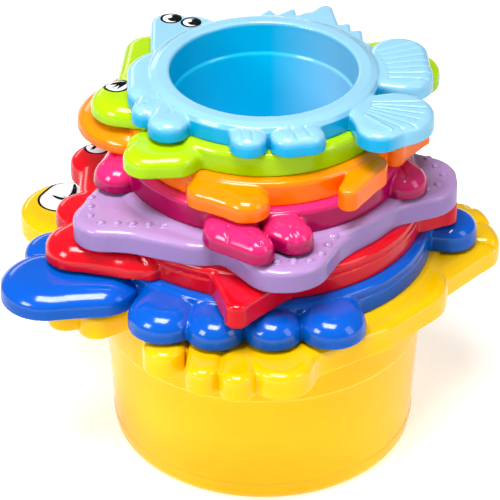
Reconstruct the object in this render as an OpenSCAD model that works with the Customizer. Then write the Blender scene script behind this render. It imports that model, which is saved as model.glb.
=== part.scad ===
// Tower of eight nesting bath cups. Each cup has a skirted rim shaped like a sea creature.
// Millimetres, Z up, origin at the centre of the underside of the largest cup.

/* [Cups] */
// Outer radius of the largest cup wall
cup_r = 45; // [44:0.5:50]
// Radius lost from one cup to the next smaller one
cup_step = 2.6; // [2.5:0.1:2.8]
// Height of the largest cup
cup_h = 60.3; // [58:0.1:64]
// Wall thickness of the cups
wall = 1.6; // [1.2:0.1:1.7]
// Floor thickness of the cups
floor_t = 1.8; // [1.4:0.1:2.4]

/* [Rims] */
// Width of the round collar outside the cup wall
collar_w = 4.4; // [4:0.1:5]
// Thickness of the rim plate
plate_t = 1.8; // [1.4:0.1:2.2]
// How far the creature lobes lie below the collar top
lobe_drop = 1.2; // [0.8:0.1:1.6]
// Skirt height of the lowest rim
skirt_h = 9; // [8.5:0.1:9.5]
// Skirt height lost from one rim to the next
skirt_step = 0.32; // [0.2:0.02:0.4]

/* [Eyes] */
// Thickness of the printed eye layers
print_t = 0.25; // [0.2:0.05:0.4]

/* [Hidden] */
$fn = 96;
// Gap left between a collar and the skirt that stands on it
stack_gap = 0.1;
// Height of a cup's inner step below its top, largest cup first
step_depth = 24.1;
step_depth_loss = 2.1;
// Cup height lost from one cup to the next
height_step = 2.5;
foot_h = 6.1;
eye_line = 0.7;
bead_r = 0.9;
groove_w = 0.7;
groove_d = 0.5;

// Height of the underside of rim k
function rim_z(k) = cup_h - skirt_h + k * skirt_h - skirt_step * k * (k - 1) / 2;
// Height of the top of rim k
function top_z(k) = rim_z(k + 1) - stack_gap;
function wall_r(k) = cup_r - cup_step * k;
function height(k) = cup_h - height_step * k - stack_gap;

// Creature outlines. Each row is a lobe: x1, y1, r1, x2, y2, r2,
// the track of a round end of radius r1 that moves and grows to r2.
fish_aqua = [
  [-25, 29.3, 5.4, -24, 12, 6.6], [-18.6, 28.4, 4.6, -12, 20, 8],
  [-25.5, 3.5, 11.3, -26.5, -5.5, 10.2], [-28, -10, 6, -31.2, -16.2, 4.2],
  [-22, -14, 7, -25.6, -22.5, 5.6],
  [-6, -28, 4.4, -5, -31.2, 5], [5, -28, 4.4, 5.4, -31.2, 4.6], [5.4, -31.2, 4.6, 10.6, -30.6, 4.6],
  [32, 4, 5, 37, 11, 7.6], [37, 11, 7.6, 37.2, -0.4, 8.2], [28, 0, 7, 37.2, -0.4, 8.2],
  [28, -19, 6.8, 34.2, -21, 9.7], [34.2, -21, 9.7, 29.2, -28.2, 5.8],
  [28, -19, 6.8, 29.2, -28.2, 5.8],
  [2, 27, 5, 2.6, 34.6, 0.9], [6, 27, 5, 9.2, 34.9, 0.9], [12, 26, 6, 13.4, 32.6, 1.2],
  [15, 24, 7, 18.4, 35.4, 2.2], [20, 20, 5, 23.8, 25.6, 1.2], [22, 16, 6, 27, 22, 1],
  [24, 12, 6, 29, 14, 1]];
turtle_green = [
  [-28, 0, 10, -37, 2, 9.8], [-28, 12, 11.8, -31, 28.4, 7.1],
  [-24, -18, 8, -32.4, -21.8, 4.3], [-20, -22, 8, -31, -27.6, 6.4],
  [-31, -27.6, 6.4, -24, -27.4, 6.4],
  [28, 12, 8, 39.2, 15, 9.9], [24, 20, 7, 33.6, 23.4, 7], [31, -1, 5, 37, -3, 2.4],
  [10, 28, 6, 14, 36, 3.4], [-4, 28, 6, -8, 38, 4]];
whale_orange = [
  [-20, 0, 10, -32.5, 8, 18.2], [-32.5, 8, 18.2, -28, 24, 12], [-28, 24, 12, -12, 24, 12],
  [-15, -28, 6, -16.2, -33.2, 4.8], [-16.2, -33.2, 4.8, -5.6, -38.7, 5.8],
  [-6, -30, 5, -5.6, -38.7, 5.8], [27.4, -24.6, 4.3, 21, -36.8, 2.8], [22, -22, 6, 27.4, -24.6, 4.3],
  [32, -13, 4, 34.5, -15.2, 2.4], [34.5, -15.2, 2.4, 42, -4.6, 2.8], [32, -4, 9, 42, -4.6, 2.8],
  [6, 30, 6, 12, 40, 4.2]];
octopus_pink = [
  [-34, -2, 6, -38, -4, 5.6], [-38, -4, 5.6, -39.6, -10.4, 6.7],
  [-9, -32, 8, -10, -40, 7], [-10, -40, 7, -3, -48.4, 4.4],
  [4, -34, 6, 4, -40, 5.6], [4, -40, 5.6, 6.8, -43.2, 5],
  [34, -8, 6, 37.2, -15.4, 6.6], [33, 16, 6, 38, 20, 6],
  [8, 34, 6, 10, 43, 5.4], [-8, 34, 6, -12, 43, 5.4]];
star_lilac = [
  [-20, -10, 20, -43, -24.6, 8.6], [0, -24, 19, 2.6, -43.8, 9.8], [10, -26, 14, 6.5, -43, 9.6],
  [26, -8, 17, 42.2, -9.2, 10.2], [24, -4, 17, 42.8, -5.6, 9.6],
  [12, 24, 16, 19.6, 38, 9.2], [-18, 18, 17, -31, 30, 9.2],
  [-32, -18.6, 15.8, -17, -26.6, 14], [14, -26, 12.6, 31, -14, 8]];
fish_red = [
  [-36, 14, 9, -45.8, 19.4, 8.2], [-42, 14, 9, -42.5, 0, 8.8], [-40, -4, 9, -49.6, -6.4, 7.6],
  [-42, -12, 10, -51, -21, 8.4], [-51, -21, 8.4, -36, -27, 6.6], [-36, -27, 6.6, -31, -31, 3.8],
  [-11, -38, 5, -8.6, -54.3, 2.9], [3, -40.4, 4.4, -8.6, -54.3, 2.9],
  [-11, -38, 5, 3, -40.4, 4.4], [-4, -40, 6, -7, -48, 4],
  [38, -9, 6, 49.8, -6.4, 3.2], [49.8, -6.4, 3.2, 49.4, 7, 3.2], [36, 6, 6, 49.4, 7, 3.2],
  [42, 0, 6, 46, 1, 5.4], [-4, 40, 6, -12, 50, 3], [6, 38, 6, -12, 50, 3]];
crab_blue = [
  [-44, -22, 10, -59, -27.4, 12.6], [-59, -27.4, 12.6, -45, -28, 11],
  [-44, -8, 9, -57.8, -12.6, 8.1], [-26, -36, 9, -27.8, -42.2, 9.6],
  [-14, -38, 8, -14.1, -47.2, 8], [1, -38, 8, 1, -47.8, 7.9], [15, -38, 9, 16.7, -46.4, 9.1],
  [42, -1, 7, 51.8, -2.6, 7.6],
  [40, 16, 8, 46, 19, 8], [20, 40, 8, 23, 46, 7.6], [6, 44, 8, 7, 49, 7.6],
  [-9, 44, 8, -10, 48, 7.6], [-24, 38, 8, -26, 43, 8.4]];
turtle_yellow = [
  [-36, 10, 16, -55, 20, 13.9],
  [-44, -14, 8, -63.8, -21.8, 4.8], [-40, -18, 8, -54.4, -27.4, 5],
  [-36, -22, 8, -45.8, -31, 5.4],
  [-26, -40, 6, -27.8, -49, 5.7], [-16, -44, 5, -17.6, -58, 4.7],
  [-7, -46, 5, -8.6, -60.8, 4.9], [0, -44, 6, 3, -56, 8.6], [3, -56, 8.6, 6, -49, 8.8],
  [6, -49, 8.8, 26, -35, 10], [26, -35, 10, 36, -20, 14],
  [30, -14, 18, 56.4, 2.2, 10], [56.4, 2.2, 10, 55.6, 11, 8.8], [40, 14, 10, 55.6, 11, 8.8],
  [-16, 44, 6, -18, 54, 5], [-28, 40, 6, -33, 48, 5], [18, 42, 7, 22, 51, 6]];

// Rows of beads along the star's edges: first bead, last bead, number of beads.
bead_rows = [[[-47, -16.5], [-47, -25.5], 3], [[-44, -29], [-19, -31.8], 7],
  [[-14, -36], [-3, -46.5], 4], [[2, -49], [10.4, -48.6], 3], [[13.6, -45.2], [19.4, -33.6], 4],
  [[22.4, -29.2], [32, -21], 4], [[40.6, -16.6], [47, -12.4], 3], [[48.8, -7.6], [45.4, 1], 3]];
// Fans of grooves on the fish tail: hub, first and last angle, step, inner and outer radius.
tail_fans = [[[25, 0], -12, 42, 9, 9.5, 17.5], [[22.5, -27.5], 0, 45, 9, 8, 19]];

// One lobe, drawn inward by cut. Two round ends and the straight sides that touch both.
module lobe(l, cut) {
  a = [l[0], l[1]];
  b = [l[3], l[4]];
  ra = max(l[2] - cut, 0.05);
  rb = max(l[5] - cut, 0.05);
  d = norm(b - a);
  turn = atan2(b[1] - a[1], b[0] - a[0]);
  side = acos((ra - rb) / d);
  translate(a) circle(r = ra);
  translate(b) circle(r = rb);
  polygon([for (p = [[a, ra, 1], [b, rb, 1], [b, rb, -1], [a, ra, -1]])
    p[0] + (p[1] - 0.02) * [cos(turn + p[2] * side), sin(turn + p[2] * side)]]);
}

module outline(lobes, cut) {
  for (l = lobes) lobe(l, cut);
}

// Turned part of cup k: tapered body with a foot band, a step in the wall and a round collar.
module shell(k) {
  r = wall_r(k);
  h = height(k);
  skirt = top_z(k) - rim_z(k);
  step = h - step_depth + step_depth_loss * k;
  rc = r + collar_w;
  translate([0, 0, top_z(k) - h])
    rotate_extrude()
      polygon([[0, 0], [r - 4.1, 0], [r - 2.8, 0.8], [r - 2.1, 2.2], [r - 1.7, foot_h - 0.4],
        [r - 2, foot_h], [r - 0.4, step - 0.6], [r, step], [r, h - plate_t],
        [rc - wall, h - plate_t], [rc - wall, h - skirt], [rc, h - skirt], [rc, h - 1.4],
        [rc - 0.5, h - 0.5], [rc - 1.7, h], [r - 0.8, h], [r - 1.3, h - 0.3], [r - wall, h - 1],
        [r - wall, step], [r - wall - 0.5, step - 0.6],
        [r - wall - 1.9, floor_t + 3], [r - wall - 3.4, floor_t + 0.8],
        [r - wall - 5, floor_t], [0, floor_t]]);
}

// Skirted lobes of rim k, open below, cut away inside the collar.
module rim(k, lobes) {
  z = rim_z(k);
  h = top_z(k) - lobe_drop - z;
  translate([0, 0, z])
    difference() {
      linear_extrude(height = h) outline(lobes, 0);
      translate([0, 0, -1]) linear_extrude(height = h - plate_t + 1) outline(lobes, wall);
      translate([0, 0, -1]) cylinder(r = wall_r(k) + collar_w - wall / 2, h = h + 2);
    }
}

module cup(k, lobes) {
  shell(k);
  rim(k, lobes);
}

// Area of a printed eye, half widths a and b, drawn inward by cut.
module eye_area(a, b, cut) {
  for (side = [-1, 1])
    translate([side * (a - b), 0]) circle(r = b - cut);
  if (a > b) square([2 * (a - b), 2 * (b - cut) - 0.02], center = true);
}

// Layer of the eye e on its lobe. An eye is [rim, place, turn, half widths, pupil].
module eye_layer(e, level, turn) {
  translate([e[1][0], e[1][1], top_z(e[0]) - lobe_drop + level * print_t])
    rotate([0, 0, turn])
      linear_extrude(height = print_t) children();
}

module white(e) {
  color("white") eye_layer(e, 0, e[2]) eye_area(e[3][0], e[3][1], eye_line);
}

module ring(e) {
  color("black") eye_layer(e, 0, e[2])
    difference() {
      eye_area(e[3][0], e[3][1], 0);
      eye_area(e[3][0], e[3][1], eye_line);
    }
}

// Round pupil with a round bite, the glint, out of its left rear side.
module pupil(e) {
  r = e[4][2];
  color("black") eye_layer(e, 1, 0) translate([e[4][0], e[4][1]])
    difference() {
      circle(r = r);
      translate([-0.75 * r, 0.5 * r]) circle(r = 0.45 * r);
    }
}

// Pupil painted as a brush mark, whose outline is measured from the eye's centre.
module brush_pupil(e) {
  color("black") eye_layer(e, 1, 0) polygon(e[4]);
}

// Eyes: rim number, place, turn, half widths, then the pupil's outline, or its offset and radius.
yellow_eye = [0, [-56.3, 24.4], 58, [8.8, 6.5],
  [[-3.7, 0.4], [-2.7, -1], [-1.3, -2], [0.7, -2.2], [2.8, -0.8], [4.1, 2.4], [3.7, 6],
   [2.5, 6.3], [2.1, 3.3], [1.1, 1.4], [-0.2, 0.4], [-2.1, 0.3]]];
red_eye = [2, [-46.3, 22.9], 0, [3.9, 3.9],
  [[-1.9, 2], [-1.7, 1.4], [-0.9, 0.9], [-1.9, -1.2], [-1, -1.2], [-0.1, 0.3], [0.7, 1.5], [0.1, 2.3]]];
green_eye = [6, [-39.7, 5.1], 0, [3.7, 3.7],
  [[-2, 0.2], [-0.7, 0.1], [-1.3, -1.4], [0, -0.7], [0, -2.3], [1.7, -0.4], [2.7, 0.8],
   [2.4, 1.7], [0.9, 2.1], [-1, 1.5]]];
aqua_eye_outer = [7, [-25.1, 30.3], 0, [3, 3], [0.8, 0, 1.8]];
aqua_eye_inner = [7, [-19.6, 28], 0, [2.8, 2.8], [0.8, 0, 1.7]];

module beads() {
  for (row = bead_rows, i = [0 : row[2] - 1])
    translate(concat(row[0] + (row[1] - row[0]) * i / (row[2] - 1), top_z(3) - lobe_drop - 0.2))
      sphere(r = bead_r);
}

module grooves() {
  for (f = tail_fans, a = [f[1] : f[3] : f[2]])
    translate([f[0][0], f[0][1], top_z(7) - lobe_drop - groove_d])
      rotate([0, 0, a])
        translate([f[4], -groove_w / 2, 0]) cube([f[5] - f[4], groove_w, 2]);
}

module cup_yellow() {
  color("gold") cup(0, turtle_yellow);
}

module cup_blue() {
  color("royalblue") cup(1, crab_blue);
}

module cup_red() {
  color("red") cup(2, fish_red);
}

module cup_lilac() {
  color("mediumpurple") {
    cup(3, star_lilac);
    beads();
  }
}

module cup_pink() {
  color("deeppink") cup(4, octopus_pink);
}

module cup_orange() {
  color("orange") cup(5, whale_orange);
}

module cup_green() {
  color("yellowgreen") cup(6, turtle_green);
}

module cup_aqua() {
  color("skyblue")
    difference() {
      cup(7, fish_aqua);
      grooves();
    }
}

cup_yellow();
cup_blue();
cup_red();
cup_lilac();
cup_pink();
cup_orange();
cup_green();
cup_aqua();
white(yellow_eye);  // yellow_eye_white
ring(yellow_eye);  // yellow_eye_ring
brush_pupil(yellow_eye);  // yellow_eye_pupil
white(red_eye);  // red_eye_white
ring(red_eye);  // red_eye_ring
brush_pupil(red_eye);  // red_eye_pupil
white(green_eye);  // green_eye_white
ring(green_eye);  // green_eye_ring
brush_pupil(green_eye);  // green_eye_pupil
white(aqua_eye_outer);  // aqua_eye_outer_white
ring(aqua_eye_outer);  // aqua_eye_outer_ring
pupil(aqua_eye_outer);  // aqua_eye_outer_pupil
white(aqua_eye_inner);  // aqua_eye_inner_white
ring(aqua_eye_inner);  // aqua_eye_inner_ring
pupil(aqua_eye_inner);  // aqua_eye_inner_pupil
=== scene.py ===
import math

import bpy
import numpy as np
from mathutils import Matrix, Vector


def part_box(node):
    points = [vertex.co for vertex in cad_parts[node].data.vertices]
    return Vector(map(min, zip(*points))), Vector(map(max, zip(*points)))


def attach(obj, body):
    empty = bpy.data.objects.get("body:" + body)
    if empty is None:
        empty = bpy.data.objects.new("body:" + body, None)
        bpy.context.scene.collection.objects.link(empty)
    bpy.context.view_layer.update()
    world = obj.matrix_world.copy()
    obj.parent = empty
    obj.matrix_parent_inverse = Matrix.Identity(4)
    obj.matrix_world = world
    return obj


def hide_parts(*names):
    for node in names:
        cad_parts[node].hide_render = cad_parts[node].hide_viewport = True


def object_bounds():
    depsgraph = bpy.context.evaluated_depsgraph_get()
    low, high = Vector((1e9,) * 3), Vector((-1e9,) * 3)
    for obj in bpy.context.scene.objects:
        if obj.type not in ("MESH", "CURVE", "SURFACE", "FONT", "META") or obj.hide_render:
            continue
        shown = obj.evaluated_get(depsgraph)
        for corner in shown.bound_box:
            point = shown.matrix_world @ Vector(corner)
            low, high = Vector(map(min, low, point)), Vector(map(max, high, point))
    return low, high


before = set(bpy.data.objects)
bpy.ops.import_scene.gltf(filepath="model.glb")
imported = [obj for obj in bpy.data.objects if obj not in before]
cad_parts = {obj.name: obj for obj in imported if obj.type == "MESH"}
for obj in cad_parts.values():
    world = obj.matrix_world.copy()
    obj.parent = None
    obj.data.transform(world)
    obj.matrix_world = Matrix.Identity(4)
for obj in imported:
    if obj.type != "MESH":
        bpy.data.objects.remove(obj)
cad_low, cad_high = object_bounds()

# ---------------------------------------------------------------- sizes, in millimetres
MM = 0.001
CUP_R = 45.0          # outer radius of the largest cup
CUP_STEP = 2.6        # radius lost from one cup to the next
WALL = 1.6
FLOOR_T = 1.8
COLLAR_W = 4.4        # width of the round collar outside the cup wall
PLATE_T = 1.8
LOBE_DROP = 1.2       # the creature lobes lie this far below the collar top
SKIRT_H = 9.0         # skirt height of the lowest rim
STACK_GAP = 0.1       # clearance between a collar and the skirt that stands on it
FOOT_H = 6.1          # height of the crease above the foot
STEP_DEPTH = 24.1     # height of the largest cup's inner step below its top
STEP_DEPTH_LOSS = 2.1  # how much less that is from one cup to the next

# Widths over which neighbouring surfaces round into one another.
PLAN_BLEND = 1.2      # lobes of one group, in plan
LOBE_BLEND = 0.5      # a lobe's top and side, and one group and the next
INSIDE_BLEND = 0.3    # the hollow under the lobes
SKIRT_BLEND = 0.4     # the skirt's lower edge
COLLAR_BLEND = 0.2    # where the lobes stop inside the collar
BODY_BLEND = 0.7      # lobes and the turned body

TABLE_CELL = 0.2      # grid of the turned part's section
NEWTON_STEPS = 3
SCAN_STEP = 0.05      # search for a rim's top, downward
SCAN_COUNT = 80

# Each rim is a list of groups (edge width, edge drop, lobes). Towards its edge a group's top
# falls by the drop over the width, on an arc, and then breaks to a vertical band.
# A lobe is the track of a round end: x1, y1, r1, x2, y2, r2.
TURTLE_YELLOW = [
    (3.4, 2.1, [(-36, 10, 16, -55, 20, 13.9)]),
    (2.6, 1.8, [(-44, -14, 8, -63.8, -21.8, 4.8), (-40, -18, 8, -54.4, -27.4, 5),
                (-36, -22, 8, -45.8, -31, 5.4)]),
    (2.6, 1.8, [(-26, -40, 6, -27.8, -49, 5.7)]),
    (2.6, 1.8, [(-16, -44, 5, -17.6, -58, 4.7)]),
    (2.6, 1.8, [(-7, -46, 5, -8.6, -60.8, 4.9), (0, -44, 6, 3, -56, 8.6),
                (3, -56, 8.6, 6, -49, 8.8), (6, -49, 8.8, 26, -35, 10), (26, -35, 10, 36, -20, 14)]),
    (4.0, 2.6, [(30, -14, 18, 56.4, 2.2, 10), (56.4, 2.2, 10, 55.6, 11, 8.8),
                (40, 14, 10, 55.6, 11, 8.8)]),
    (2.6, 1.8, [(-16, 44, 6, -18, 54, 5)]),
    (2.6, 1.8, [(-28, 40, 6, -33, 48, 5)]),
    (2.6, 1.8, [(18, 42, 7, 22, 51, 6)])]
CRAB_BLUE = [
    (6.5, 3.6, [(-44, -22, 10, -59, -27.4, 12.6), (-59, -27.4, 12.6, -45, -28, 11)]),
    (5.0, 3.4, [(-44, -8, 9, -57.8, -12.6, 8.1)]),
    (6.0, 4.2, [(-26, -36, 9, -27.8, -42.2, 9.6)]),
    (6.0, 4.2, [(-14, -38, 8, -14.1, -47.2, 8)]),
    (6.0, 4.2, [(1, -38, 8, 1, -47.8, 7.9)]),
    (6.0, 4.2, [(15, -38, 9, 16.7, -46.4, 9.1)]),
    (4.5, 3.2, [(42, -1, 7, 51.8, -2.6, 7.6)]),
    (4.5, 3.2, [(40, 16, 8, 46, 19, 8)]),
    (5.0, 3.6, [(20, 40, 8, 23, 46, 7.6)]),
    (5.0, 3.6, [(6, 44, 8, 7, 49, 7.6)]),
    (5.0, 3.6, [(-9, 44, 8, -10, 48, 7.6)]),
    (5.0, 3.6, [(-24, 38, 8, -26, 43, 8.4)])]
FISH_RED = [
    (3.6, 2.6, [(-36, 14, 9, -45.8, 19.4, 8.2), (-42, 14, 9, -42.5, 0, 8.8),
                (-40, -4, 9, -49.6, -6.4, 7.6)]),
    (6.0, 4.4, [(-42, -12, 10, -51, -21, 8.4), (-51, -21, 8.4, -36, -27, 6.6),
                (-36, -27, 6.6, -31, -31, 3.8)]),
    (1.8, 1.0, [(-11, -38, 5, -8.6, -54.3, 2.9), (3, -40.4, 4.4, -8.6, -54.3, 2.9),
                (-11, -38, 5, 3, -40.4, 4.4), (-4, -40, 6, -7, -48, 4)]),
    (2.4, 1.2, [(38, -9, 6, 49.8, -6.4, 3.2), (49.8, -6.4, 3.2, 49.4, 7, 3.2),
                (36, 6, 6, 49.4, 7, 3.2), (42, 0, 6, 46, 1, 5.4)]),
    (2.6, 1.6, [(-4, 40, 6, -12, 50, 3), (6, 38, 6, -12, 50, 3)])]
STAR_LILAC = [
    (2.4, 1.3, [(-20, -10, 20, -43, -24.6, 8.6), (0, -24, 19, 2.6, -43.8, 9.8),
                (10, -26, 14, 6.5, -43, 9.6), (26, -8, 17, 42.2, -9.2, 10.2),
                (24, -4, 17, 42.8, -5.6, 9.6), (12, 24, 16, 19.6, 38, 9.2),
                (-18, 18, 17, -31, 30, 9.2), (-32, -18.6, 15.8, -17, -26.6, 14),
                (14, -26, 12.6, 31, -14, 8)])]
OCTOPUS_PINK = [
    (5.4, 5.0, [(-34, -2, 6, -38, -4, 5.6), (-38, -4, 5.6, -39.6, -10.4, 6.7)]),
    (4.6, 4.2, [(-9, -32, 8, -10, -40, 7), (-10, -40, 7, -3, -48.4, 4.4)]),
    (4.4, 4.0, [(4, -34, 6, 4, -40, 5.6), (4, -40, 5.6, 6.8, -43.2, 5)]),
    (5.6, 5.0, [(34, -8, 6, 37.2, -15.4, 6.6)]),
    (4.6, 4.0, [(33, 16, 6, 38, 20, 6)]),
    (4.6, 4.0, [(8, 34, 6, 10, 43, 5.4)]),
    (4.6, 4.0, [(-8, 34, 6, -12, 43, 5.4)])]
WHALE_ORANGE = [
    (7.0, 4.0, [(-20, 0, 10, -32.5, 8, 18.2), (-32.5, 8, 18.2, -28, 24, 12),
                (-28, 24, 12, -12, 24, 12)]),
    (4.0, 2.8, [(-15, -28, 6, -16.2, -33.2, 4.8), (-16.2, -33.2, 4.8, -5.6, -38.7, 5.8),
                (-6, -30, 5, -5.6, -38.7, 5.8)]),
    (1.2, 0.7, [(27.4, -24.6, 4.3, 21, -36.8, 2.8), (22, -22, 6, 27.4, -24.6, 4.3)]),
    (1.2, 0.7, [(32, -13, 4, 34.5, -15.2, 2.4), (34.5, -15.2, 2.4, 42, -4.6, 2.8),
                (32, -4, 9, 42, -4.6, 2.8)]),
    (2.6, 1.5, [(6, 30, 6, 12, 40, 4.2)])]
TURTLE_GREEN = [
    (5.0, 3.6, [(-28, 0, 10, -37, 2, 9.8)]),
    (4.0, 2.8, [(-28, 12, 11.8, -31, 28.4, 7.1)]),
    (3.6, 2.4, [(-24, -18, 8, -32.4, -21.8, 4.3), (-20, -22, 8, -31, -27.6, 6.4),
                (-31, -27.6, 6.4, -24, -27.4, 6.4)]),
    (3.6, 2.4, [(28, 12, 8, 39.2, 15, 9.9)]),
    (3.6, 2.4, [(24, 20, 7, 33.6, 23.4, 7)]),
    (2.4, 1.4, [(31, -1, 5, 37, -3, 2.4)]),
    (2.6, 1.8, [(10, 28, 6, 14, 36, 3.4)]),
    (2.6, 1.8, [(-4, 28, 6, -8, 38, 4)])]
FISH_AQUA = [
    (2.2, 1.2, [(-25, 29.3, 5.4, -24, 12, 6.6), (-18.6, 28.4, 4.6, -12, 20, 8)]),
    (3.6, 2.0, [(-25.5, 3.5, 11.3, -26.5, -5.5, 10.2)]),
    (3.2, 2.2, [(-28, -10, 6, -31.2, -16.2, 4.2)]),
    (3.2, 2.2, [(-22, -14, 7, -25.6, -22.5, 5.6)]),
    (3.4, 2.6, [(-6, -28, 4.4, -5, -31.2, 5)]),
    (3.4, 2.6, [(5, -28, 4.4, 5.4, -31.2, 4.6), (5.4, -31.2, 4.6, 10.6, -30.6, 4.6)]),
    (2.6, 1.5, [(32, 4, 5, 37, 11, 7.6), (37.3, 10.8, 7.8, 37.2, -0.4, 8.2),
                (28, 0, 7, 37.2, -0.4, 8.2)]),
    (2.6, 1.5, [(28, -19, 6.8, 34.2, -21, 9.7), (34.2, -21, 9.7, 29.2, -28.2, 5.8),
                (28, -19, 6.8, 29.2, -28.2, 5.8)]),
    (1.4, 0.9, [(2, 27, 5, 2.6, 34.6, 0.9), (6, 27, 5, 9.2, 34.9, 0.9),
                (12, 26, 6, 13.4, 32.6, 1.2), (15, 24, 7, 18.4, 35.4, 2.2),
                (20, 20, 5, 23.8, 25.6, 1.2), (22, 16, 6, 27, 22, 1), (24, 12, 6, 29, 14, 1)])]

# Creases pressed into a rim's top: x1, y1, x2, y2, depth, half width. A negative depth is a ridge.
CREASES = {
    "red": [(-35, -30, -30.5, -36.5, 0.5, 0.45)],
    "pink": [(-10.6, -43, -10.6, -47, 0.6, 0.45), (-5, -46.5, -2.4, -50.5, 0.6, 0.45),
             (5.4, -44, 7.2, -47.5, 0.6, 0.45), (7.6, -38, 9.4, -40.5, 0.5, 0.45),
             (-39, -5, -42, -10, 0.5, 0.45), (35, -13, 37.5, -18.5, 0.5, 0.45),
             (38.5, -10, 41.5, -14, 0.5, 0.45)],
    "aqua": [(-28, -12, -31.5, -16, 0.5, 0.5), (-23, -14, -25.5, -21, 0.5, 0.5),
             (-6.5, -30, -6.5, -34, 0.4, 0.4), (-4, -30, -4, -34, 0.4, 0.4),
             (6, -30, 7.5, -34, 0.4, 0.4), (9.5, -29.5, 11, -33, 0.4, 0.4),
             (26, -24.5, 32, -31.5, -0.45, 0.45)],
    "yellow": [(59.5, 16.5, 66, 20, 1.1, 1.2), (60.5, 8.5, 68, 9.5, 1.1, 1.2),
               (60, -1.5, 68, -3, 1.1, 1.2)]}
# Fans of grooves on the fish tail: hub x, y, first angle, last angle, step, inner and outer radius.
TAIL_FANS = [(3, -2, -4, 24, 4.6, 30.5, 41.5), (20, -17, -42, 0, 8.4, 8, 22)]
FAN_DEPTH = 0.38
FAN_WIDTH = 0.32
# Cups whose collar has a fine line round its side, and how far below the top it lies.
SIDE_LINE = {"blue": 3.2, "red": 3.2}
# How many times wider than usual the rounding of a collar is.
SOFT_COLLAR = {"aqua": 1.5}
# Cups whose lobes blend in plan over another width than PLAN_BLEND.
WIDE_BLENDS = {"lilac": 3.0}
# Rows of beads along the star's edges: first bead, last bead, number of beads.
BEAD_ROWS = [
    ((-47, -16.5), (-47, -25.5), 3), ((-44, -29), (-19, -31.8), 7), ((-14, -36), (-3, -46.5), 4),
    ((2, -49), (10.4, -48.6), 3), ((13.6, -45.2), (19.4, -33.6), 4), ((22.4, -29.2), (32, -21), 4),
    ((40.6, -16.6), (47, -12.4), 3), ((48.8, -7.6), (45.4, 1), 3)]
BEAD_R = 1.15
BEAD_H = 0.85

# Cup name, rim groups, grid pitch, and its colour on faces that look up, on upright walls (a darker
# copy: painted shade), and inside (painted shade, painted paler towards +X).
CUPS = [
    ("yellow", TURTLE_YELLOW, 0.70, (1.0, 0.58, 0.0), (1.0, 0.56, 0.0), (0.98, 0.5, 0.0)),
    ("blue", CRAB_BLUE, 0.66, (0.0, 0.11, 0.64), (0.0, 0.09, 0.46), (0.0, 0.08, 0.5)),
    ("red", FISH_RED, 0.62, (0.88, 0.003, 0.014), (0.62, 0.002, 0.012), (0.65, 0.0, 0.0)),
    ("lilac", STAR_LILAC, 0.52, (0.50, 0.30, 0.62), (0.29, 0.19, 0.44), (0.34, 0.2, 0.58)),
    ("pink", OCTOPUS_PINK, 0.54, (0.90, 0.025, 0.19), (0.38, 0.0, 0.08), (0.6, 0.0, 0.12)),
    ("orange", WHALE_ORANGE, 0.52, (1.0, 0.29, 0.0), (1.0, 0.165, 0.0), (0.9, 0.16, 0.0)),
    ("green", TURTLE_GREEN, 0.50, (0.48, 0.74, 0.0), (0.34, 0.60, 0.0), (0.3, 0.6, 0.0)),
    ("aqua", FISH_AQUA, 0.44, (0.31, 0.62, 0.82), (0.0, 0.36, 0.66), (0.0, 0.55, 0.85))]

# Printed eyes: name, cup, place, turn, half widths.
EYES = [
    ("yellow_eye", "yellow", (-56.3, 24.4), 58, (8.8, 6.5)),
    ("red_eye", "red", (-46.3, 22.9), 0, (3.9, 3.9)),
    ("green_eye", "green", (-39.7, 5.1), 0, (3.7, 3.7)),
    ("aqua_eye_outer", "aqua", (-24.8, 30.3), 0, (3, 3)),
    ("aqua_eye_inner", "aqua", (-19.3, 27.8), 0, (2.9, 2.9))]
EYE_LINE = 0.7        # width of the ring
EYE_POINTS = 96       # points round an eye's outline
CORE = 0.02           # how small a layer's innermost ring is, against its outline
INK_UNDER = 0.12      # how far a layer reaches into the rim below it
WHITE_LIFT, RING_LIFT, PUPIL_LIFT = 0.03, 0.04, 0.09  # how far each layer stands out
# Pupils painted as brush marks: the line that the stroke follows, then its outline, both measured
# from the eye's centre.
BRUSH_PUPILS = {
    "yellow_eye": (
        [(-3.2, 0.1), (-1.8, -1.2), (-0.3, -1.8), (1.2, -1.4), (2.3, 0.3), (2.8, 3.2), (2.7, 5.8)],
        [(-3.7, 0.4), (-2.5, 0), (-1.5, -0.7), (-0.3, -1.2), (0.9, -0.6), (1.7, 1), (2.2, 3.3),
         (2.4, 6.2), (3, 6), (3.5, 3.6), (3.3, 1), (2.5, -1.2), (1.2, -2.4), (-0.3, -2.5),
         (-1.8, -1.9), (-2.9, -0.8)]),
    "red_eye": (
        [(-0.4, 1.2), (-0.3, 1.3)],
        [(-1.9, 2), (-1.7, 1.4), (-0.9, 0.9), (-1.9, -1.2), (-1, -1.2), (-0.1, 0.3), (0.7, 1.5),
         (0.1, 2.3)]),
    "green_eye": (
        [(1.3, 0.95), (1.4, 1)],
        [(-2, 0.2), (0.1, 0.5), (-1.3, -1.4), (0.75, -0.1), (0, -2.3), (1.8, -0.3), (2.7, 0.8),
         (2.4, 1.7), (0.9, 2.1), (-1, 1.5)])}
# Round pupils with a bite: offset from the eye's centre, and radius.
ROUND_PUPILS = {"aqua_eye_outer": (0.9, 0, 1.85), "aqua_eye_inner": (0.85, 0, 1.75)}


# ---------------------------------------------------------------- distance fields
def smooth_min(a, b, k):
    h = np.maximum(k - np.abs(a - b), 0) / k
    return np.minimum(a, b) - h * h * k / 4


def smooth_max(a, b, k):
    return -smooth_min(-a, -b, k)


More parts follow.
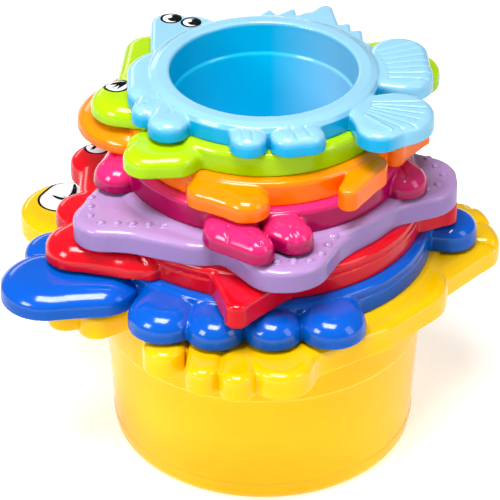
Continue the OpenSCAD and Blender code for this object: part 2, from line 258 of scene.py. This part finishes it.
def lobe_distance(lobe, x, y):
    """Signed distance in plan to a round end that moves and grows; negative inside."""
    x1, y1, r1, x2, y2, r2 = lobe
    length = math.hypot(x2 - x1, y2 - y1)
    ux, uy = (x2 - x1) / length, (y2 - y1) / length
    along = (x - x1) * ux + (y - y1) * uy
    across = np.abs((y - y1) * ux - (x - x1) * uy)
    s = (r1 - r2) / length
    c = math.sqrt(1 - s * s)
    k = along * c - across * s
    first = np.hypot(across, along) - r1
    last = np.hypot(across, along - length) - r2
    side = across * c + along * s - r1
    return np.where(k < 0, first, np.where(k > c * length, last, side))


def segment_distance(x1, y1, x2, y2, x, y):
    dx, dy = x2 - x1, y2 - y1
    t = np.clip(((x - x1) * dx + (y - y1) * dy) / (dx * dx + dy * dy), 0, 1)
    return np.hypot(x - x1 - t * dx, y - y1 - t * dy)


def detail_height(name, x, y):
    """Height that creases, ridges, grooves and beads add to a rim's top."""
    h = np.zeros_like(x)
    for x1, y1, x2, y2, depth, width in CREASES.get(name, []):
        h -= depth * np.exp(-(segment_distance(x1, y1, x2, y2, x, y) / width) ** 2)
    if name == "aqua":
        for hx, hy, first, last, step, inner, outer in TAIL_FANS:
            for angle in np.radians(np.arange(first, last + 0.1, step)):
                c, s = math.cos(angle), math.sin(angle)
                start = hx + inner * c, hy + inner * s
                end = hx + outer * c, hy + outer * s
                d = segment_distance(*start, *end, x, y)
                h -= FAN_DEPTH * np.exp(-(d / FAN_WIDTH) ** 2)
    if name == "lilac":
        for (x1, y1), (x2, y2), count in BEAD_ROWS:
            for t in np.linspace(0, 1, count):
                d = np.hypot(x - x1 - t * (x2 - x1), y - y1 - t * (y2 - y1))
                h += BEAD_H * np.sqrt(np.maximum(1 - (d / BEAD_R) ** 2, 0))
    return h


def profile(r, h, skirt, step, line, soft):
    """Half section of a cup's turned part: tapered body, foot, step in the wall, round collar."""
    rc = r + COLLAR_W
    side = [(rc, h - line - 0.5), (rc - 0.4, h - line), (rc, h - line + 0.5)] if line else []
    return [(0, 0), (r - 4.1, 0), (r - 2.8, 0.8), (r - 2.1, 2.2), (r - 1.7, FOOT_H - 0.4),
            (r - 2, FOOT_H), (r - 0.4, step - 0.6), (r, step), (r, h - PLATE_T),
            (rc - WALL, h - PLATE_T), (rc - WALL, h - skirt), (rc, h - skirt), *side,
            (rc, h - 1.4 * soft), (rc - 0.5 * soft, h - 0.5 * soft), (rc - 1.7 * soft, h),
            (r - 0.8, h), (r - 1.3, h - 0.3), (r - WALL, h - 1),
            (r - WALL, step), (r - WALL - 0.5, step - 0.6), (r - WALL - 1.9, FLOOR_T + 3),
            (r - WALL - 3.4, FLOOR_T + 0.8), (r - WALL - 5, FLOOR_T), (0, FLOOR_T)]


def section_distance(points, p, z):
    """Signed distance to a closed polygon. The edge on the axis doesn't count as a surface."""
    best = np.full(p.shape, 1e9)
    inside = np.zeros(p.shape, bool)
    for (x1, y1), (x2, y2) in zip(points, points[1:] + points[:1]):
        if x1 > 0 or x2 > 0:
            best = np.minimum(best, segment_distance(x1, y1, x2, y2, p, z))
        if y1 != y2:
            crosses = ((y1 > z) != (y2 > z)) & (p < (x2 - x1) * (z - y1) / (y2 - y1) + x1)
            inside ^= crosses
    return np.where(inside, -best, best)


class Cup:
    """One moulded cup as a solid field in millimetres, negative inside."""

    def __init__(self, index, name, groups, pitch):
        self.name, self.groups, self.pitch = name, groups, pitch
        low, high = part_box("cup_" + name)
        self.low, self.high = np.array(low) / MM, np.array(high) / MM
        self.bottom, self.top = self.low[2], self.high[2]
        below = "cup_" + CUPS[index - 1][0]  # read only where there is one
        if index:
            self.skirt_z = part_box(below)[1].z / MM + STACK_GAP
        else:
            self.skirt_z = self.top + STACK_GAP - SKIRT_H
        self.height = self.top - self.bottom
        self.r = CUP_R - CUP_STEP * index
        self.rc = self.r + COLLAR_W
        self.step = self.height - STEP_DEPTH + STEP_DEPTH_LOSS * index
        self.lobe_top = self.top - LOBE_DROP
        self.make_section_table()

    def make_section_table(self):
        """The turned part's field on a fine grid, blurred a little so that its corners are round."""
        self.p0, self.z0 = -2.0, self.bottom - 3
        p = self.p0 + TABLE_CELL * np.arange(int((self.rc + 16) / TABLE_CELL))
        z = self.z0 + TABLE_CELL * np.arange(int((self.height + 7) / TABLE_CELL))
        pp, zz = np.meshgrid(np.abs(p), z - self.bottom, indexing="ij")
        skirt, line = self.top - self.skirt_z, SIDE_LINE.get(self.name)
        points = profile(self.r, self.height, skirt, self.step, line, SOFT_COLLAR.get(self.name, 1))
        t = section_distance(points, pp, zz)
        for _ in range(2):
            t[1:-1, 1:-1] = (t[1:-1, 1:-1] * 4 + t[:-2, 1:-1] + t[2:, 1:-1]
                             + t[1:-1, :-2] + t[1:-1, 2:]) / 8
        self.table = t

    def turned(self, p, z):
        """The turned part's field, read from its table."""
        i = np.clip((p - self.p0) / TABLE_CELL, 0, self.table.shape[0] - 1.001)
        j = np.clip((z - self.z0) / TABLE_CELL, 0, self.table.shape[1] - 1.001)
        a, b = i.astype(int), j.astype(int)
        u, v = i - a, j - b
        t = self.table
        return ((t[a, b] * (1 - u) + t[a + 1, b] * u) * (1 - v)
                + (t[a, b + 1] * (1 - u) + t[a + 1, b + 1] * u) * v)

    def plan(self, x, y):
        """What the field needs in plan: each group's distance, drop and slope factor, and detail."""
        rows = []
        blend = WIDE_BLENDS.get(self.name, PLAN_BLEND)
        for width, drop, lobes in self.groups:
            d = lobe_distance(lobes[0], x, y)
            for lobe in lobes[1:]:
                d = smooth_min(d, lobe_distance(lobe, x, y), blend)
            arc = (width * width + drop * drop) / (2 * drop)
            off = width - np.clip(-d, 0, width)
            root = np.sqrt(arc * arc - off * off)
            rows.append((d, arc - root, root / arc))
        return rows, detail_height(self.name, x, y), np.hypot(x, y)

    def field(self, plan, z):
        """The whole cup's field at heights z over the points that plan was made for."""
        rows, detail, p = plan
        body = self.turned(p, z)
        lobes = None
        for d, fall, slope in rows:
            g = smooth_max(d, (z - self.lobe_top - detail + fall) * slope, LOBE_BLEND)
            lobes = g if lobes is None else smooth_min(lobes, g, LOBE_BLEND)
        shell = smooth_max(lobes, -(lobes + WALL), INSIDE_BLEND)
        shell = smooth_max(shell, self.skirt_z - z, SKIRT_BLEND)
        shell = smooth_max(shell, self.rc - WALL / 2 - p, COLLAR_BLEND)
        whole = smooth_min(body, shell, BODY_BLEND)
        # blending would swell the skirt's edge onto the cup below, so it is held level
        return np.maximum(whole, np.minimum(self.skirt_z - z, body))

    def at(self, q):
        return self.field(self.plan(q[:, 0], q[:, 1]), q[:, 2])

    def gradient(self, q, e=0.12):
        g = np.empty_like(q)
        for axis in range(3):
            a, b = q.copy(), q.copy()
            a[:, axis] -= e
            b[:, axis] += e
            g[:, axis] = (self.at(b) - self.at(a)) / (2 * e)
        return g

    def levels(self):
        """Grid heights: close where the section or the rim has shape, wide on the plain wall."""
        fine, wide = 0.55, 2.4
        marks = [(self.bottom - 0.5, self.bottom + FOOT_H + 1.2, fine),
                 (self.bottom + FOOT_H + 1.2, self.bottom + self.step - 1.6, wide),
                 (self.bottom + self.step - 1.6, self.bottom + self.step + 1.2, fine),
                 (self.bottom + self.step + 1.2, self.skirt_z - 0.7, wide),
                 (self.skirt_z - 0.7, self.top + 0.5, min(fine, self.pitch))]
        z = [marks[0][0]]
        for low, high, step in marks:
            if high > z[-1]:
                count = max(1, round((high - z[-1]) / step))
                z.extend(np.linspace(z[-1], high, count + 1)[1:])
        return np.array(z)

    def grid(self):
        """Grid lines that take in the collar and every lobe."""
        rows = np.array([lobe for _, _, lobes in self.groups for lobe in lobes])
        spread = np.concatenate([rows[:, :3], rows[:, 3:]])
        lines = []
        for axis in (0, 1):
            low = min((spread[:, axis] - spread[:, 2]).min(), -self.rc) - 1.5
            high = max((spread[:, axis] + spread[:, 2]).max(), self.rc) + 1.5
            lines.append(low + self.pitch * np.arange(int((high - low) / self.pitch) + 2))
        return lines[0], lines[1], self.levels()


# ---------------------------------------------------------------- meshes
def surface_net(xs, ys, zs, f):
    """Vertices and quads of the surface where f changes sign, one vertex to each crossed cell."""
    inside = f < 0
    shape = tuple(n - 1 for n in f.shape)
    count = np.zeros(shape, np.int8)
    for a in (0, 1):
        for b in (0, 1):
            for c in (0, 1):
                count += inside[a:a + shape[0], b:b + shape[1], c:c + shape[2]]
    active = (count > 0) & (count < 8)
    cells = np.argwhere(active)
    number = np.full(shape, -1, np.int64)
    number[active] = np.arange(len(cells))
    axes = (xs, ys, zs)
    total = np.zeros((len(cells), 3))
    hits = np.zeros(len(cells))
    for axis in range(3):
        others = [n for n in range(3) if n != axis]
        for a in (0, 1):
            for b in (0, 1):
                start = cells.copy()
                start[:, others[0]] += a
                start[:, others[1]] += b
                end = start.copy()
                end[:, axis] += 1
                fa, fb = f[tuple(start.T)], f[tuple(end.T)]
                crossed = (fa < 0) != (fb < 0)
                t = np.where(crossed, fa / np.where(crossed, fa - fb, 1), 0)
                for n in range(3):
                    pa, pb = axes[n][start[:, n]], axes[n][end[:, n]]
                    total[:, n] += np.where(crossed, pa + t * (pb - pa), 0)
                hits += crossed
    quads = []
    for axis in range(3):
        u, v = (axis + 1) % 3, (axis + 2) % 3
        here = [slice(1, -1)] * 3
        there = [slice(1, -1)] * 3
        here[axis], there[axis] = slice(0, -1), slice(1, None)
        first, second = inside[tuple(here)], inside[tuple(there)]
        for leaves in (True, False):
            at = np.argwhere((first != second) & (first == leaves))
            at[:, u] += 1
            at[:, v] += 1
            corners = []
            for du, dv in ((-1, -1), (0, -1), (0, 0), (-1, 0)):
                cell = at.copy()
                cell[:, u] += du
                cell[:, v] += dv
                corners.append(number[tuple(cell.T)])
            quad = np.stack(corners, 1)
            quads.append(quad if leaves else quad[:, ::-1])
    return total / hits[:, None], np.concatenate(quads)


def mesh_object(name, points, faces, normals=None):
    """A smooth-shaded mesh of quads from points in millimetres."""
    mesh = bpy.data.meshes.new(name)
    mesh.vertices.add(len(points))
    mesh.vertices.foreach_set("co", (np.asarray(points) * MM).astype(np.float32).ravel())
    faces = np.asarray(faces, np.int32)
    mesh.loops.add(faces.size)
    mesh.loops.foreach_set("vertex_index", faces.ravel())
    mesh.polygons.add(len(faces))
    mesh.polygons.foreach_set("loop_start", np.arange(0, faces.size, faces.shape[1], dtype=np.int32))
    mesh.polygons.foreach_set("use_smooth", np.ones(len(faces), bool))
    mesh.update(calc_edges=True)
    mesh.validate()
    if normals is not None:
        mesh.normals_split_custom_set_from_vertices(normals.astype(np.float32))
    piece = bpy.data.objects.new(name, mesh)
    bpy.context.scene.collection.objects.link(piece)
    return piece


def cup_piece(cup):
    """The whole cup as one closed moulding."""
    xs, ys, zs = cup.grid()
    x, y = np.meshgrid(xs, ys, indexing="ij")
    plan = cup.plan(x, y)
    f = np.stack([cup.field(plan, np.full_like(x, z)) for z in zs], 2)
    points, quads = surface_net(xs, ys, zs, f)
    reach = 0.3 * cup.pitch
    for _ in range(NEWTON_STEPS):  # onto the true surface
        g = cup.gradient(points)
        move = -(cup.at(points) / np.maximum((g * g).sum(1), 0.2))[:, None] * g
        size = np.linalg.norm(move, axis=1, keepdims=True)
        points += move * np.minimum(1, reach / np.maximum(size, 1e-9))
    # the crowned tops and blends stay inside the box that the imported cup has
    points = np.clip(points, cup.low, cup.high)
    g = cup.gradient(points)
    normals = g / np.maximum(np.linalg.norm(g, axis=1, keepdims=True), 1e-9)
    return mesh_object(cup.name + "_moulding", points, quads, normals)


def surface_height(cup, x, y):
    """Height of the rim's top over each point."""
    z = cup.lobe_top + 1.1
    plan = cup.plan(x, y)
    height = np.full(x.shape, z - SCAN_STEP * SCAN_COUNT)
    found = np.zeros(x.shape, bool)
    before = cup.field(plan, np.full_like(x, z))
    for _ in range(SCAN_COUNT):
        z -= SCAN_STEP
        now = cup.field(plan, np.full_like(x, z))
        hit = ~found & (now <= 0) & (before > 0)
        height = np.where(hit, z + SCAN_STEP * now / np.where(hit, now - before, 1), height)
        found |= hit
        before = now
    return height


def eye_outline(angle, half, cut):
    """Point at that angle on an oval made of two round ends and straight sides, drawn in by cut."""
    a, b = half
    shift = a - b
    c, s = np.cos(angle), np.sin(angle)
    x = np.sign(c) * shift * np.minimum(np.abs(c) * 4, 1) + (b - cut) * c
    return np.stack([x, (b - cut) * s], -1)


def pupil_outline(angle, r):
    """Round, with a bite for the glint out of its left rear side."""
    c, s = np.cos(angle), np.sin(angle)
    bite_x, bite_y, bite_r = -0.75 * r, 0.5 * r, 0.45 * r
    along = c * bite_x + s * bite_y
    off = bite_x ** 2 + bite_y ** 2 - bite_r ** 2
    root = along * along - off
    near = along - np.sqrt(np.maximum(root, 0))
    radius = np.where((root > 0) & (near > 0), np.minimum(near, r), r)
    return np.stack([radius * c, radius * s], -1)


def pupil_rings(eye, place):
    """Points close round the middle of an eye's pupil, and as many round its outline."""
    if eye in ROUND_PUPILS:
        dx, dy, radius = ROUND_PUPILS[eye]
        middle = place + (dx, dy)
        outline = pupil_outline(np.linspace(0, 2 * np.pi, EYE_POINTS, endpoint=False), radius) + middle
    else:
        spine, corners = (np.array(points, float) + place for points in BRUSH_PUPILS[eye])
        t = np.arange(0, len(corners), 0.125)
        k = t.astype(int)
        outline = corners[k] + (np.roll(corners, -1, 0)[k] - corners[k]) * (t - k)[:, None]
        along = np.linspace(0, 1, 60)[:, None]
        line = np.concatenate([a + (b - a) * along for a, b in zip(spine, spine[1:])])
        nearest = np.hypot(*(outline[:, None] - line[None]).T).argmin(0)
        middle = line[nearest]
    return middle + (outline - middle) * CORE, outline


def ink_piece(name, cup, inner, outer, lift, rings):
    """A thin closed layer of ink that follows the rim's top between two outlines."""
    around = len(outer)
    t = np.linspace(0, 1, rings + 1)
    flat = np.concatenate([inner * (1 - s) + outer * s for s in t])
    z = surface_height(cup, flat[:, 0], flat[:, 1])
    upper = np.column_stack([flat, z + lift])
    lower = np.column_stack([flat, z - INK_UNDER])
    n = len(flat)
    faces = []
    for i in range(rings):
        for j in range(around):
            k = (j + 1) % around
            a, b, c, d = i * around + j, i * around + k, (i + 1) * around + k, (i + 1) * around + j
            faces.append((a, d, c, b))
            faces.append((n + a, n + b, n + c, n + d))
    for j in range(around):
        k = (j + 1) % around
        o = rings * around
        faces.append((o + j, n + o + j, n + o + k, o + k))
        faces.append((j, k, n + k, n + j))
    return mesh_object(name, np.concatenate([upper, lower]), faces)


# ---------------------------------------------------------------- materials
def new_material(name):
    material = bpy.data.materials.new(name)
    material.use_nodes = True
    nodes, links = material.node_tree.nodes, material.node_tree.links
    return material, nodes, links, nodes["Principled BSDF"]


def map_range(nodes, links, source, start, end, first, last):
    """A node that maps source from start..end onto first..last, held at both ends."""
    node = nodes.new("ShaderNodeMapRange")
    for socket, value in zip(("From Min", "From Max", "To Min", "To Max"), (start, end, first, last)):
        node.inputs[socket].default_value = value
    links.new(source, node.inputs["Value"])
    return node.outputs[0]


def mix_colour(nodes, links, factor, a, b):
    """Mix from a to b; each is a colour or a socket."""
    node = nodes.new("ShaderNodeMix")
    node.data_type = "RGBA"
    links.new(factor, node.inputs["Factor"])
    for socket, value in (("A", a), ("B", b)):
        if isinstance(value, tuple):
            node.inputs[socket].default_value = (*value, 1)
        else:
            links.new(value, node.inputs[socket])
    return node.outputs["Result"]


def noise(nodes, links, place, scale, detail):
    node = nodes.new("ShaderNodeTexNoise")
    node.inputs["Scale"].default_value = scale
    node.inputs["Detail"].default_value = detail
    links.new(place.outputs["Object"], node.inputs["Vector"])
    return node.outputs["Fac"]


def set_values(node, values):
    for socket, value in values.items():
        node.inputs[socket].default_value = value


def gloss_plastic(name, colour, side, inner, cup=None):
    """Glossy moulded plastic: slight tone drift, faint flow ripple, fine handling marks, and painted
    shade on upright walls and inside the cup.
    """
    material, nodes, links, shader = new_material(name)
    place = nodes.new("ShaderNodeTexCoord")

    # upright walls are painted in a darker copy of the colour than the faces that look up: painted
    # shade
    facing = nodes.new("ShaderNodeSeparateXYZ")
    links.new(place.outputs["Normal"], facing.inputs[0])
    painted_shade_facing = map_range(nodes, links, facing.outputs["Z"], 0.1, 0.7, 0, 1)
    split = nodes.new("ShaderNodeSeparateXYZ")
    links.new(place.outputs["Object"], split.inputs[0])
    # painted light: on the tail's thin fins the upright faces are painted lighter, towards the top
    # colour
    if name == "aqua_gloss":  # the tail's thin fins let more light through
        thin = map_range(nodes, links, split.outputs["X"], 31 * MM, 36 * MM, 0, 0.75)
        side = mix_colour(nodes, links, thin, side, colour)
    # tone: the colour with painted shade on the upright walls
    tone = mix_colour(nodes, links, painted_shade_facing, side, colour)

    if cup is not None:  # painted shade inside the cup, with painted light on its +X side
        flat = nodes.new("ShaderNodeCombineXYZ")
        links.new(split.outputs["X"], flat.inputs["X"])
        links.new(split.outputs["Y"], flat.inputs["Y"])
        length = nodes.new("ShaderNodeVectorMath")
        length.operation = "LENGTH"
        links.new(flat.outputs[0], length.inputs[0])
        edge = (cup.r - WALL) * MM
        out = length.outputs["Value"]
        within = map_range(nodes, links, out, edge + 0.45 * MM, edge - 0.15 * MM, 0, 1)
        rim = cup.top * MM
        below = map_range(nodes, links, split.outputs["Z"], rim - 0.5 * MM, rim - 1.6 * MM, 0, 1)
        # painted light and shade: full painted shade (the inside colour) on the -X side, falling to
        # 0.15 on the +X side, which is painted nearly the top colour
        painted_inside_shade_amount = map_range(nodes, links, split.outputs["X"], 0.1 * edge, 0.8 * edge, 1, 0.15)
        both = nodes.new("ShaderNodeMath")
        both.operation = "MULTIPLY"
        links.new(within, both.inputs[0])
        links.new(below, both.inputs[1])
        painted_inside_light_and_shade = mix_colour(nodes, links, painted_inside_shade_amount, colour, inner)
        tone = mix_colour(nodes, links, both.outputs[0], tone, painted_inside_light_and_shade)

    drift = noise(nodes, links, place, 38, 3)
    shade = nodes.new("ShaderNodeHueSaturation")
    links.new(tone, shade.inputs["Color"])
    links.new(map_range(nodes, links, drift, 0.3, 0.7, 0.94, 1.03), shade.inputs["Value"])
    links.new(shade.outputs["Color"], shader.inputs["Base Color"])

    marks = noise(nodes, links, place, 260, 4)
    links.new(map_range(nodes, links, marks, 0, 1, 0.11, 0.19), shader.inputs["Roughness"])
    for socket, low_gloss, high_gloss in (("Specular IOR Level", 0.16, 0.5), ("Coat Weight", 0, 0.3)):
        gloss = map_range(nodes, links, facing.outputs["Z"], 0, 0.4, low_gloss, high_gloss)
        links.new(gloss, shader.inputs[socket])

    bump = nodes.new("ShaderNodeBump")
    set_values(bump, {"Strength": 0.06, "Distance": 0.0006})
    links.new(noise(nodes, links, place, 75, 2), bump.inputs["Height"])
    links.new(bump.outputs[0], shader.inputs["Normal"])

    set_values(shader, {
        "IOR": 1.46, "Subsurface Weight": 0.04, "Subsurface Radius": (0.004, 0.003, 0.002),
        "Subsurface Scale": 0.5, "Coat Roughness": 0.06})
    return material


def finish_piece(piece, body, nodes, material):
    piece.data.materials.append(material)
    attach(piece, body)
    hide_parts(*nodes)


# ---------------------------------------------------------------- the cups
cups = {}
for index, (name, groups, pitch, colour, side, inner) in enumerate(CUPS):
    cup = Cup(index, name, groups, pitch)
    cups[name] = cup
    material = gloss_plastic(name + "_gloss", colour, side, inner, cup)
    finish_piece(cup_piece(cup), name + "_cup", ["cup_" + name], material)

# ---------------------------------------------------------------- the printed eyes
# ink is duller than the plastic round it
white_ink = gloss_plastic("white_ink", *[(0.97, 0.97, 0.97)] * 3)
black_ink = gloss_plastic("black_ink", *[(0.004, 0.004, 0.005)] * 3)
for ink in (white_ink, black_ink):
    for socket, value in (("Coat Weight", 0), ("Specular IOR Level", 0.08)):
        target = ink.node_tree.nodes["Principled BSDF"].inputs[socket]
        ink.node_tree.links.remove(target.links[0])
        target.default_value = value
angles = np.linspace(0, 2 * np.pi, EYE_POINTS, endpoint=False)
for eye, owner, place, turn, half in EYES:
    cup = cups[owner]
    c, s = math.cos(math.radians(turn)), math.sin(math.radians(turn))
    spin = np.array([[c, s], [-s, c]])
    place = np.array(place, float)
    outer = eye_outline(angles, half, 0) @ spin + place
    inner = eye_outline(angles, half, EYE_LINE) @ spin + place
    centre = place + (inner - place) * CORE
    pupil_middle, pupil = pupil_rings(eye, place)
    layers = [("white", centre, inner, WHITE_LIFT, 8, white_ink, "eye_white_ink"),
              ("ring", inner, outer, RING_LIFT, 2, black_ink, "eye_black_ink"),
              ("pupil", pupil_middle, pupil, PUPIL_LIFT, 6, black_ink, "eye_black_ink")]
    for part, start, end, lift, rings, ink, slot in layers:
        piece = ink_piece(part + "_of_" + eye, cup, start, end, lift, rings)
        finish_piece(piece, owner + "_cup", [eye + "_" + part], ink)


# ---------------------------------------------------------------- stage, light and camera
def add_floor():
    mesh = bpy.data.meshes.new("floor")
    half = 3.0
    corners = [(-half, -half, 0), (half, -half, 0), (half, half, 0), (-half, half, 0)]
    mesh.from_pydata(corners, [], [(0, 1, 2, 3)])
    floor = bpy.data.objects.new("floor", mesh)
    bpy.context.scene.collection.objects.link(floor)
    floor.location.z = -0.0002
    material, _, _, shader = new_material("floor_paint")
    set_values(shader, {
        "Base Color": (0.93, 0.93, 0.93, 1), "Roughness": 0.6,
        "Emission Color": (1, 1, 1, 1), "Emission Strength": 0.52})
    mesh.materials.append(material)


def add_softbox(name, place, aim, size, watts):
    light = bpy.data.lights.new(name, "AREA")
    light.shape = "RECTANGLE"
    light.size, light.size_y = size
    light.energy = watts
    lamp = bpy.data.objects.new(name, light)
    bpy.context.scene.collection.objects.link(lamp)
    lamp.location = place
    lamp.rotation_euler = (aim - lamp.location).to_track_quat("-Z", "Y").to_euler()


def add_world():
    world = bpy.data.worlds.new("studio")
    bpy.context.scene.world = world
    world.use_nodes = True
    set_values(world.node_tree.nodes["Background"], {"Color": (1, 1, 1, 1), "Strength": 0.16})


def add_camera():
    """At the calibrated viewpoint: 33.5 degrees down, 1.6 degrees toward +X."""
    data = bpy.data.cameras.new("camera")
    data.sensor_width = 36
    data.lens = 185.52
    camera = bpy.data.objects.new("camera", data)
    bpy.context.scene.collection.objects.link(camera)
    camera.location = (-0.02035, -0.60236, 0.45472)
    camera.rotation_euler = (math.radians(90 - 33.524), 0, math.radians(-1.583))
    bpy.context.scene.camera = camera


add_floor()
add_world()
middle = (cad_low + cad_high) / 2
add_softbox("key", (-0.10, -0.30, 0.93), middle, (0.50, 0.34), 8.8)
add_softbox("fill", (0.70, -0.40, 0.45), middle, (0.30, 0.60), 1.4)
add_softbox("left", (-0.62, -0.42, 0.50), middle, (0.26, 0.26), 2.6)
add_softbox("rim", (-0.20, 0.75, 0.30), middle, (0.60, 0.14), 0.6)
add_camera()
bpy.context.scene.view_settings.view_transform = "Standard"
